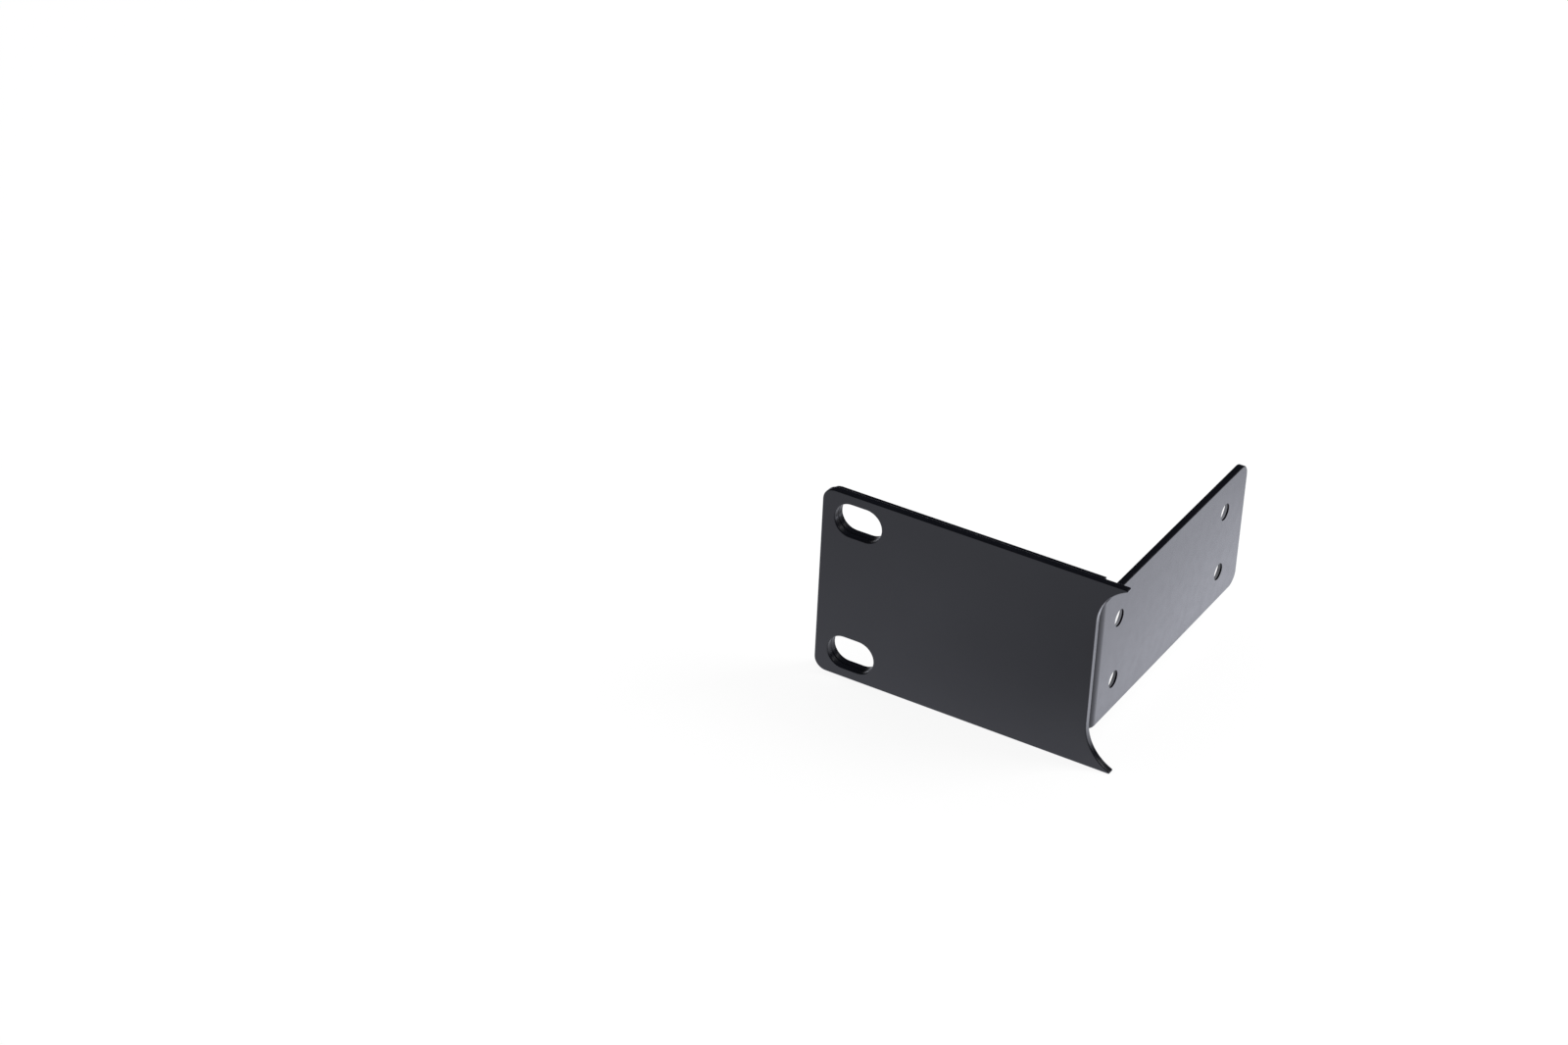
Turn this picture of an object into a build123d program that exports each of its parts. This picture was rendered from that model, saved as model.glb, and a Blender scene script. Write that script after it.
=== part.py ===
from build123d import *
import os

# Rack mount ear bracket for the right-hand side of a one-unit device.
#
# Two painted steel sheets lie face to face: a face plate with a concave inner end, and behind it an
# angle bracket whose flange turns back into the arm that is screwed to the side of the device.
# Lengths are in millimetres. The origin is on the flange's rear face, midway between the two rack
# slots. +X points to the device, +Y to the back of the rack and +Z up.

# Both sheets
sheet = 1.6                # thickness of each painted sheet
edge_round = 0.26          # rounding that the stamping and the paint give to the edges
seam_break = 0.18          # deburring of the slots' edges where the two sheets meet

# Rack unit
unit_height = 44.45        # one rack unit
hole_step_height = 12.7    # last hole of one rack unit to the first hole of the next
panel_gap = 0.77           # a one-unit panel is this much lower than its rack unit

# Face plate
plate_width = 62.6         # outer edge to the straight stretch of the concave end
plate_corner = 2.8         # radius of the two outer corners
horn_height = 9.73         # top of the plate to the straight stretch of the concave end
horn_radius = 10.0         # arcs that sweep from the straight stretch out into the two horns
tip_extra = 0.05           # the horns' tips are rounder than the edges by this much

# Rack slots, through both sheets
slot_length = 10.9
slot_width = 7.45
slot_inset = 8.4           # outer edge of the face plate to the slot centres

# Angle bracket
flange_inset = 0.6         # the flange stands this far inside the face plate's top and bottom
outer_inset = 0.2          # and this far inside its outer edge
flange_corner = 2.6        # radius of the flange's two outer corners
arm_height = 29.7
arm_reach = 66.55          # flange's rear face to the far end of the arm
arm_corner = 3.0           # radius of the arm's two far corners
bend_radius = 1.0          # inside radius of the fold
relief_height = 2.2        # notch beside the fold, above and below the arm
relief_depth = 0.6         # how far each notch runs into the flange, past the fold

# Countersunk screw holes in the arm
hole_diameter = 3.8
countersink_diameter = 7.2
countersink_angle = 110
hole_pitch_length = 48.8   # along the arm
hole_pitch_height = 14.7   # up the arm
first_hole = 7.95          # flange's rear face to the nearer pair of holes

# Sizes and places that follow from the ones above
plate_height = unit_height - panel_gap
slot_spacing = unit_height - hole_step_height
concave_height = plate_height - 2 * horn_height + 2 * horn_radius
concave_depth = 4 * horn_radius
outer_edge = -slot_inset
plate_edge = outer_edge + plate_width
arm_inner_face = plate_edge - sheet
fold_radius = bend_radius + sheet
fold_start = plate_edge - fold_radius
tip_round = edge_round + tip_extra
flange_width = plate_width - outer_inset
flange_height = plate_height - 2 * flange_inset
relief_reach = fold_radius + relief_depth

flange_front = Plane.XZ.offset(sheet)
flange_rear = Plane.XZ
arm_bottom = Plane.XY.offset(-arm_height / 2)
arm_side = Plane(origin=(arm_inner_face, 0, 0), x_dir=(0, 1, 0), z_dir=(-1, 0, 0))


# Face plate: a flat sheet with two horns at its concave end
with BuildPart() as face_plate:
    with BuildSketch(flange_front) as plate_outline:
        with Locations((outer_edge, 0)):
            Rectangle(plate_width + horn_radius, plate_height, align=(Align.MIN, Align.CENTER))
        fillet(plate_outline.vertices().sort_by(Axis.X)[:2], plate_corner)
        with Locations((plate_edge, 0)):
            RectangleRounded(
                concave_depth,
                concave_height,
                horn_radius,
                align=(Align.MIN, Align.CENTER),
                mode=Mode.SUBTRACT,
            )
        fillet(plate_outline.vertices().sort_by(Axis.X)[-2:], tip_round)
        with GridLocations(0, slot_spacing, 1, 2):
            SlotOverall(slot_length, slot_width, mode=Mode.SUBTRACT)
    extrude(amount=sheet)
    front_skin = face_plate.faces().sort_by(Axis.Y)[0]
    rear_skin = face_plate.faces().sort_by(Axis.Y)[-1]
    fillet(front_skin.edges() + rear_skin.outer_wire().edges(), edge_round)
    chamfer(face_plate.faces().sort_by(Axis.Y)[-1].inner_wires().edges(), seam_break)

face_plate.part.label = "face_plate"


# Angle bracket: flange, fold and arm, bent from one sheet. The flange is rounded at its rear only,
# because its front lies against the face plate.
with BuildPart() as angle_bracket:
    with BuildSketch(flange_rear) as flange_outline:
        with Locations((plate_edge, 0)):
            Rectangle(flange_width, flange_height, align=(Align.MAX, Align.CENTER))
        fillet(flange_outline.vertices().sort_by(Axis.X)[:2], flange_corner)
    extrude(amount=sheet)
    fillet(angle_bracket.faces().sort_by(Axis.Y)[-1].edges(), edge_round)

    with BuildSketch(flange_rear):
        with GridLocations(0, slot_spacing, 1, 2):
            SlotOverall(slot_length, slot_width)
        with Locations((fold_start, 0)):
            Rectangle(fold_radius, arm_height, align=(Align.MIN, Align.CENTER))
        with Locations((plate_edge, 0)):
            with GridLocations(0, arm_height + relief_height, 1, 2):
                Rectangle(2 * relief_reach, relief_height)
    extrude(amount=sheet, mode=Mode.SUBTRACT)
    chamfer(angle_bracket.faces().sort_by(Axis.Y)[0].inner_wires().edges(), seam_break)

    with BuildSketch(arm_bottom):
        with BuildLine():
            outside = FilletPolyline(
                (fold_start - relief_depth, -sheet),
                (plate_edge, -sheet),
                (plate_edge, arm_reach),
                radius=fold_radius,
            )
            inside = FilletPolyline(
                (fold_start - relief_depth, 0),
                (arm_inner_face, 0),
                (arm_inner_face, arm_reach),
                radius=bend_radius,
            )
            Line(outside @ 0, inside @ 0)
            Line(outside @ 1, inside @ 1)
        make_face()
    extrude(amount=arm_height)

    fillet(angle_bracket.edges().filter_by(Axis.X).group_by(Axis.Y)[-1], arm_corner)
    # The rounding runs on from the far end's two edges along the arm and round the fold.
    fillet(angle_bracket.edges().filter_by(Axis.Z).group_by(Axis.Y)[-1], edge_round)

    with Locations(arm_side):
        with Locations((first_hole + hole_pitch_length / 2, 0)):
            with GridLocations(hole_pitch_length, hole_pitch_height, 2, 2):
                CounterSinkHole(
                    radius=hole_diameter / 2,
                    counter_sink_radius=countersink_diameter / 2,
                    depth=sheet,
                    counter_sink_angle=countersink_angle,
                )

angle_bracket.part.label = "angle_bracket"


os.makedirs("parts", exist_ok=True)
export_step(face_plate.part, "parts/face_plate.step")
export_step(angle_bracket.part, "parts/angle_bracket.step")
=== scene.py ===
"""Looks for the rack mount ear bracket: black powder coat, studio floor, light and the camera.

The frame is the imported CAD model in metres: +X to the device, +Y to the back of the rack, +Z up.
"""

import math

import bpy
from mathutils import Matrix, Vector


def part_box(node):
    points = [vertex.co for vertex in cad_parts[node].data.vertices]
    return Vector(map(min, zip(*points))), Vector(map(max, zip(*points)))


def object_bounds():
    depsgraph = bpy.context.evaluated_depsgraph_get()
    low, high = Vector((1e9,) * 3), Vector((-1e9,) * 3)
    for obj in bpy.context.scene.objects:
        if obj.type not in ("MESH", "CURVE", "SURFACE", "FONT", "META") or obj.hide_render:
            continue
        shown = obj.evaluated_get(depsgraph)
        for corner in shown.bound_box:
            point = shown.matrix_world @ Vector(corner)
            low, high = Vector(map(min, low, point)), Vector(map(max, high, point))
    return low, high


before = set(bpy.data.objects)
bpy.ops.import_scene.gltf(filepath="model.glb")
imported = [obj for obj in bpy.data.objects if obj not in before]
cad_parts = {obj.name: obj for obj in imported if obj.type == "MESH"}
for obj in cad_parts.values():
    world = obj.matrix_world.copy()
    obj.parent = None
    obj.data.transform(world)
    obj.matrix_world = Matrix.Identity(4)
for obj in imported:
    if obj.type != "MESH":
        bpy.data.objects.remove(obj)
cad_low, cad_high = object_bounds()
arm_low, arm_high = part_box("angle_bracket")

# Camera: the photograph's viewing angle
CAMERA_PLACE = Vector((0.320407, -0.600548, 0.433228))
CAMERA_AIM = Vector((-0.018877, 0.0, 0.007904))
CAMERA_ROLL = math.radians(2.775)
CAMERA_CLIP = 0.01
LENS = 90.737
SENSOR = 36.0

# Powder coat: colours, roughness from smooth to dull, and the length and height of its relief
COAT_DARK = (0.0058, 0.0063, 0.0100, 1.0)
COAT_LIGHT = (0.0078, 0.0084, 0.0128, 1.0)
COAT_IOR = 1.5
COAT_ROUGH = (0.20, 0.26)
PEEL_LENGTH = 0.0024
PEEL_HEIGHT = 0.0000012
GRAIN_LENGTH = 0.00025
GRAIN_HEIGHT = 0.0000004
TONE_LENGTH = 0.012
NOISE_SPAN = (0.3, 0.7)

# Each sheet takes its pattern from another place in the noise, so that the two don't match.
PATTERN_SHIFT = {
    "face_plate": (0.0, 0.0, 0.0),
    "angle_bracket": (0.31, 0.17, 0.23),
}

# Studio: a white floor and sky, which fill the shade with plain light, and one softbox
FLOOR_SIZE = 6.0
FLOOR_PAINT = (0.20, 0.20, 0.20, 1.0)
FLOOR_GLOW = 0.88
FLOOR_FILL = 0.70
SKY_GLOW = 1.0
SKY_FILL = 0.60
KEY_PLACE = Vector((0.75, 0.55, 0.85))
KEY_AIM = Vector((0.02, 0.02, 0.0))
KEY_SIZE = 0.6
KEY_POWER = 5.0

# Painted reflection: levels that only reflected rays see on the floor, where 1 is white, tinted a little
# blue. In front of the face plate a pale part, brighter near the foot, with a painted darker patch at its
# right. Behind the flange painted shade deepens towards the arm. Beside the arm a painted pool of light
# is brighter than white. Further out the painted levels fall to a dim one.
PAINTED_REFLECTION_TINT = (0.98, 1.00, 1.125, 1.0)
FRONT_LEVEL = (0.62, 0.74)
FRONT_DEPTH = (0.057, 0.028)
FRONT_RIGHT_LEVEL = 0.50
FRONT_RIGHT_REACH = (0.0, 0.035)
FRONT_NEAR_LEVEL = 0.94
BEHIND_LEVEL = (0.85, 0.10)
BEHIND_WIDTH = 0.10
SIDE_START = 0.003
SIDE_BLEND = 0.008
SIDE_NEAR_LEVEL = (1.68, 2.00)
SIDE_LEVEL = 1.33
SIDE_REACH = 0.020
SIDE_FRONT_LEVEL = 0.45
SIDE_FRONT_REACH = (-0.018, 0.012)
TABLE_REACH = (0.125, 0.25)
FAR_LEVEL = 0.25
HORIZON_LEVEL = 0.20
HORIZON_HEIGHT = 0.20
CEILING_LEVEL = 0.01


# Nodes
def link(tree, start, end):
    tree.links.new(start, end)


def noise(tree, place, length, detail):
    """A noise texture whose features are about length metres across."""
    node = tree.nodes.new("ShaderNodeTexNoise")
    node.inputs["Scale"].default_value = 1.0 / length
    node.inputs["Detail"].default_value = detail
    node.inputs["Roughness"].default_value = 0.5
    link(tree, place, node.inputs["Vector"])
    return node.outputs["Fac"]


def ramp(tree, value, start, end, low, high):
    """Low up to start, high from end on, and a straight slope between; low and high may be sockets."""
    node = tree.nodes.new("ShaderNodeMapRange")
    node.inputs["From Min"].default_value = start
    node.inputs["From Max"].default_value = end
    for name, level in (("To Min", low), ("To Max", high)):
        if isinstance(level, float):
            node.inputs[name].default_value = level
        else:
            link(tree, level, node.inputs[name])
    link(tree, value, node.inputs["Value"])
    return node.outputs["Result"]


def spread(tree, value, low, high):
    """A noise value, which lies mostly within NOISE_SPAN, spread over low to high."""
    return ramp(tree, value, *NOISE_SPAN, low, high)


def bump(tree, height, size, below=None):
    """A normal raised by height times size metres, on top of the normal below where one is given."""
    node = tree.nodes.new("ShaderNodeBump")
    node.inputs["Strength"].default_value = 1.0
    node.inputs["Distance"].default_value = size
    link(tree, height, node.inputs["Height"])
    if below is not None:
        link(tree, below, node.inputs["Normal"])
    return node.outputs["Normal"]


def distance(tree, place, point):
    """Metres from place to a fixed point."""
    node = tree.nodes.new("ShaderNodeVectorMath")
    node.operation = "DISTANCE"
    node.inputs[1].default_value = point
    link(tree, place, node.inputs[0])
    return node.outputs["Value"]


def axes_of(tree, place):
    """The X, Y and Z of a place."""
    node = tree.nodes.new("ShaderNodeSeparateXYZ")
    link(tree, place, node.inputs["Vector"])
    return node.outputs["X"], node.outputs["Y"], node.outputs["Z"]


def light(tree, kind, strength):
    """An Emission or a Background shader; strength may be a number or a socket."""
    node = tree.nodes.new(kind)
    if isinstance(strength, float):
        node.inputs["Strength"].default_value = strength
    else:
        link(tree, strength, node.inputs["Strength"])
    return node


def by_ray(tree, seen, mirrored, fill):
    """Seen by the camera's rays, mirrored by those that reflect or pass through, fill by the rest."""
    path = tree.nodes.new("ShaderNodeLightPath")
    is_mirrored = tree.nodes.new("ShaderNodeMath")
    is_mirrored.operation = "MAXIMUM"
    link(tree, path.outputs["Is Glossy Ray"], is_mirrored.inputs[0])
    link(tree, path.outputs["Is Transmission Ray"], is_mirrored.inputs[1])
    chosen = fill.outputs[0]
    for factor, other in (
        (is_mirrored.outputs["Value"], mirrored),
        (path.outputs["Is Camera Ray"], seen),
    ):
        node = tree.nodes.new("ShaderNodeMixShader")
        link(tree, factor, node.inputs["Fac"])
        link(tree, chosen, node.inputs[1])
        link(tree, other.outputs[0], node.inputs[2])
        chosen = node.outputs["Shader"]
    return chosen


# Powder coat
def powder_coat(name, shift):
    """Smooth black powder coat, with a faint orange peel, a fine grain and slow changes of tone."""
    material = bpy.data.materials.new(name)
    material.use_nodes = True
    tree = material.node_tree
    shader = tree.nodes["Principled BSDF"]

    place = tree.nodes.new("ShaderNodeTexCoord")
    moved = tree.nodes.new("ShaderNodeVectorMath")
    moved.operation = "ADD"
    moved.inputs[1].default_value = shift
    link(tree, place.outputs["Object"], moved.inputs[0])
    where = moved.outputs["Vector"]

    tone = tree.nodes.new("ShaderNodeMix")
    tone.data_type = "RGBA"
    tone.inputs["A"].default_value = COAT_DARK
    tone.inputs["B"].default_value = COAT_LIGHT
    cloud = noise(tree, where, TONE_LENGTH, detail=3.0)
    link(tree, spread(tree, cloud, 0.0, 1.0), tone.inputs["Factor"])
    link(tree, tone.outputs["Result"], shader.inputs["Base Color"])

    patch = noise(tree, where, PEEL_LENGTH, detail=2.0)
    link(tree, spread(tree, patch, *COAT_ROUGH), shader.inputs["Roughness"])

    peel = bump(tree, noise(tree, where, PEEL_LENGTH, detail=1.0), PEEL_HEIGHT)
    grain = bump(tree, noise(tree, where, GRAIN_LENGTH, detail=2.0), GRAIN_HEIGHT, peel)
    link(tree, grain, shader.inputs["Normal"])

    shader.inputs["IOR"].default_value = COAT_IOR
    shader.inputs["Metallic"].default_value = 0.0
    return material


for node_name, shift in PATTERN_SHIFT.items():
    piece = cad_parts[node_name]
    piece.data.materials.clear()
    piece.data.materials.append(powder_coat(node_name + "_coat", shift))


# Floor
def painted_reflection_level(tree):
    """Painted reflection: how bright the coat mirrors each place on the floor, with painted light beside
    the arm and painted shade behind the flange.
    """
    place = tree.nodes.new("ShaderNodeNewGeometry").outputs["Position"]
    x, y, _ = axes_of(tree, place)
    front_far = cad_low.y - FRONT_DEPTH[0]
    front_near = cad_low.y - FRONT_DEPTH[1]
    front = ramp(tree, y, front_far, front_near, *FRONT_LEVEL)
    # Painted shade: a darker patch at the right in front of the face plate, and brighter near its foot.
    front = ramp(tree, x, *FRONT_RIGHT_REACH, front, FRONT_RIGHT_LEVEL)
    front = ramp(tree, y, front_near, cad_low.y, front, FRONT_NEAR_LEVEL)
    # Painted shade of the arm behind the flange, darker towards the arm.
    behind = ramp(tree, x, arm_high.x - BEHIND_WIDTH, arm_high.x, *BEHIND_LEVEL)
    inner = ramp(tree, y, cad_low.y, 0.0, front, behind)

    # Painted light beside the arm, brighter than white, fading outwards and darker in front.
    side = ramp(tree, y, 0.0, arm_high.y, *SIDE_NEAR_LEVEL)
    side = ramp(tree, x, arm_high.x, arm_high.x + SIDE_REACH, side, SIDE_LEVEL)
    side = ramp(tree, y, *SIDE_FRONT_REACH, SIDE_FRONT_LEVEL, side)
    side_start = arm_high.x - SIDE_START
    table = ramp(tree, x, side_start, side_start + SIDE_BLEND, inner, side)

    # Further out the painted levels fall to a dim one.
    middle = Vector((0.0, 0.0, cad_low.z))
    return ramp(tree, distance(tree, place, middle), *TABLE_REACH, table, FAR_LEVEL)


def floor_coat():
    """White paint that keeps the object's shadow, with a glow that depends on the kind of ray; reflected
    rays see a painted reflection with painted light and shade.
    """
    material = bpy.data.materials.new("floor_paint")
    material.use_nodes = True
    tree = material.node_tree
    tree.nodes.clear()
    seen = light(tree, "ShaderNodeEmission", FLOOR_GLOW)
    # Painted reflection: reflected rays see the painted levels, with painted light beside the arm and
    # painted shade behind the flange.
    mirrored = light(tree, "ShaderNodeEmission", painted_reflection_level(tree))
    mirrored.inputs["Color"].default_value = PAINTED_REFLECTION_TINT
    fill = light(tree, "ShaderNodeEmission", FLOOR_FILL)
    paint = tree.nodes.new("ShaderNodeBsdfDiffuse")
    paint.inputs["Color"].default_value = FLOOR_PAINT
    both = tree.nodes.new("ShaderNodeAddShader")
    link(tree, by_ray(tree, seen, mirrored, fill), both.inputs[0])
    link(tree, paint.outputs["BSDF"], both.inputs[1])
    output = tree.nodes.new("ShaderNodeOutputMaterial")
    link(tree, both.outputs["Shader"], output.inputs["Surface"])
    return material


bpy.ops.mesh.primitive_plane_add(size=FLOOR_SIZE, location=(0.0, 0.0, cad_low.z))
floor = bpy.context.object
floor.name = "floor"
floor.data.materials.append(floor_coat())


# World
world = bpy.data.worlds.new("studio")
bpy.context.scene.world = world
world.use_nodes = True
tree = world.node_tree
tree.nodes.clear()
direction = tree.nodes.new("ShaderNodeTexCoord").outputs["Generated"]
_, _, rise = axes_of(tree, direction)
# Painted reflection: reflected rays see a dim band at the horizon and a dark ceiling, darker than the
# plain fill that lights the object.
sky = ramp(tree, rise, 0.0, HORIZON_HEIGHT, HORIZON_LEVEL, CEILING_LEVEL)
seen, mirrored, fill = (light(tree, "ShaderNodeBackground", level) for level in (SKY_GLOW, sky, SKY_FILL))
output = tree.nodes.new("ShaderNodeOutputWorld")
link(tree, by_ray(tree, seen, mirrored, fill), output.inputs["Surface"])


# Lamp
lamp = bpy.data.lights.new("key", "AREA")
lamp.shape = "SQUARE"
lamp.size = KEY_SIZE
lamp.energy = KEY_POWER
key = bpy.data.objects.new("key", lamp)
key.location = KEY_PLACE
key.rotation_euler = (KEY_AIM - KEY_PLACE).to_track_quat("-Z", "Y").to_euler()
bpy.context.scene.collection.objects.link(key)


# Camera
lens = bpy.data.cameras.new("camera")
lens.sensor_width = SENSOR
lens.lens = LENS
lens.clip_start = CAMERA_CLIP
camera = bpy.data.objects.new("camera", lens)
bpy.context.scene.collection.objects.link(camera)
turn = (CAMERA_AIM - CAMERA_PLACE).to_track_quat("-Z", "Y").to_matrix()
camera.matrix_world = (
    Matrix.Translation(CAMERA_PLACE) @ turn.to_4x4() @ Matrix.Rotation(CAMERA_ROLL, 4, "Z")
)
bpy.context.scene.camera = camera
bpy.context.scene.view_settings.view_transform = "Standard"
